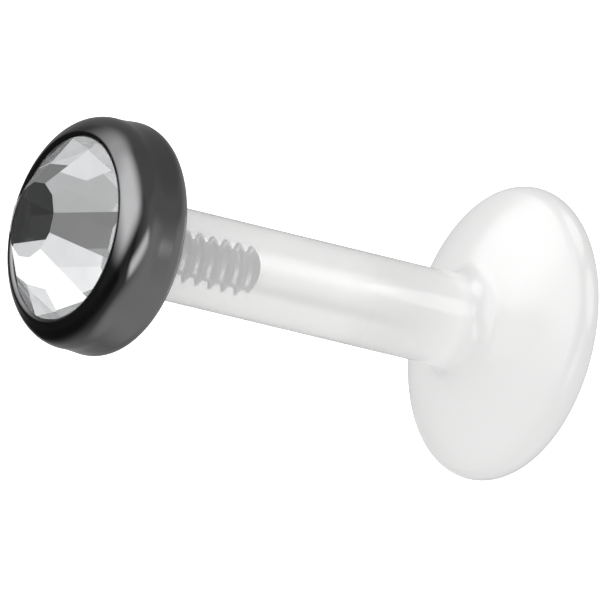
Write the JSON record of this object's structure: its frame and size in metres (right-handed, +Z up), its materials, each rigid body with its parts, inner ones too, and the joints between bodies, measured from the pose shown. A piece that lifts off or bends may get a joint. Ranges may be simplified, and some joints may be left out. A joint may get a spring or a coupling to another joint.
{
  "type": "labret stud",
  "caption": "Short plastic post with a flat domed disc at one end and a screw-on round metal top that holds a faceted crystal, worn through a lip piercing.",
  "frame": {"origin": "middle of the disc's flat back, on the surface that the stud stands on", "axes": "+Z up the post from the disc to the crystal; X and Y alike, as the stud is round"},
  "size_m": [0.0038, 0.0038, 0.0075],
  "materials": {
    "milky_plastic": "smooth, milky and translucent",
    "black_metal": "thin black coating on polished steel, glossy; the thread bare and greyer",
    "foiled_crystal": "polished facets over a silver foil back"
  },
  "bodies": {
    "pierced_post": {"post": "milky_plastic"},
    "jewelled_top": {"setting": "black_metal", "crystal": "foiled_crystal"}
  },
  "joints": [
    {"name": "top_lift", "type": "slide", "parent": "pierced_post", "child": "jewelled_top", "axis": [0, 0, 1], "range_m": [0, 0.008]}
  ]
}
